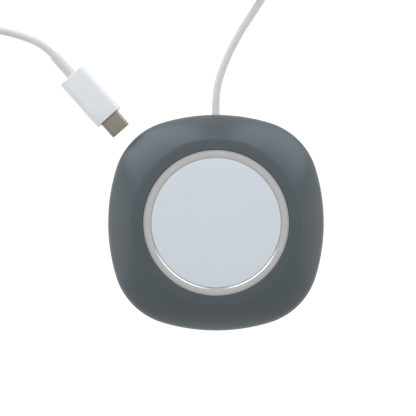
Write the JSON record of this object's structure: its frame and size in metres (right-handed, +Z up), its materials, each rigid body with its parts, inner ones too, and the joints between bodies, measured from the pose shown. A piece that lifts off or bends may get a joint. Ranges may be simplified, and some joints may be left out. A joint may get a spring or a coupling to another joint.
{
  "type": "wireless charging pad",
  "caption": "Round magnetic charging puck seated in a soft rounded-square silicone holder, with a captive cable ending in a small oval-mouthed power connector.",
  "frame": {"origin": "on the table, under the middle of the holder's base", "axes": "+Z up through the charging face, +Y towards the side where the cable leaves, +X to the right"},
  "size_m": [0.1434, 0.1735, 0.0116],
  "materials": {
    "silicone_slate": "matt moulded silicone",
    "grip_gel": "fine suede micro-suction gel",
    "adhesive": "clear transfer tape",
    "plate_steel": "zinc plated",
    "puck_aluminium": "fine bead-blasted, with a polished inner chamfer",
    "face_white": "soft-touch satin",
    "insulating_film": "amber polyimide",
    "board_green": "solder-masked glass epoxy",
    "chip_black": "moulded epoxy",
    "ceramic_tan": "ceramic with tinned ends",
    "ferrite_grey": "sintered ferrite",
    "can_steel": "tinned steel",
    "copper_wire": "enamelled copper",
    "solder_tin": "bright solder",
    "frame_black": "moulded polycarbonate",
    "magnet_nickel": "nickel plated",
    "cable_white": "soft matt elastomer jacket",
    "tie_grey": "soft strap",
    "plug_white": "semi-gloss polycarbonate",
    "plug_metal": "satin drawn steel",
    "contact_gold": "gold-plated"
  },
  "bodies": {
    "root": {"board_capacitors": "ceramic_tan", "board_film": "insulating_film", "cable_in_holder": "cable_white", "cable_in_plug": "cable_white", "cable_pad_to_spare": "cable_white", "cable_spare_to_plug": "cable_white", "cable_spare_turns": "cable_white", "cable_ties": "tie_grey", "charging_coil": "copper_wire", "coil_adhesive": "adhesive", "coil_frame": "frame_black", "coil_leads": "copper_wire", "coil_screen": "can_steel", "contacts_lower": "contact_gold", "contacts_upper": "contact_gold", "control_board": "board_green", "face_adhesive": "adhesive", "ferrite_plate": "ferrite_grey", "grip_pad": "grip_gel", "grip_pad_adhesive": "adhesive", "ground_springs": "can_steel", "latch_springs": "can_steel", "magnet_backing_ring": "plate_steel", "magnet_segments": "magnet_nickel", "plug_card": "board_green", "plug_chip": "chip_black", "plug_collar": "plug_white", "plug_ferrule": "can_steel", "plug_front_bezel": "plug_white", "plug_housing": "plug_white", "plug_inner_can": "can_steel", "plug_insulator": "frame_black", "plug_shell": "plug_metal", "plug_wires": "copper_wire", "power_chips": "chip_black", "power_inductors": "ferrite_grey", "puck_cable_boot": "cable_white", "puck_cable_clamp": "can_steel", "puck_face": "face_white", "puck_housing": "puck_aluminium", "reader_antenna": "insulating_film", "shield_can": "can_steel", "silicone_holder": "silicone_slate", "solder_joints": "solder_tin", "weight_plate": "plate_steel", "wire_cores": "copper_wire"}
  },
  "joints": []
}
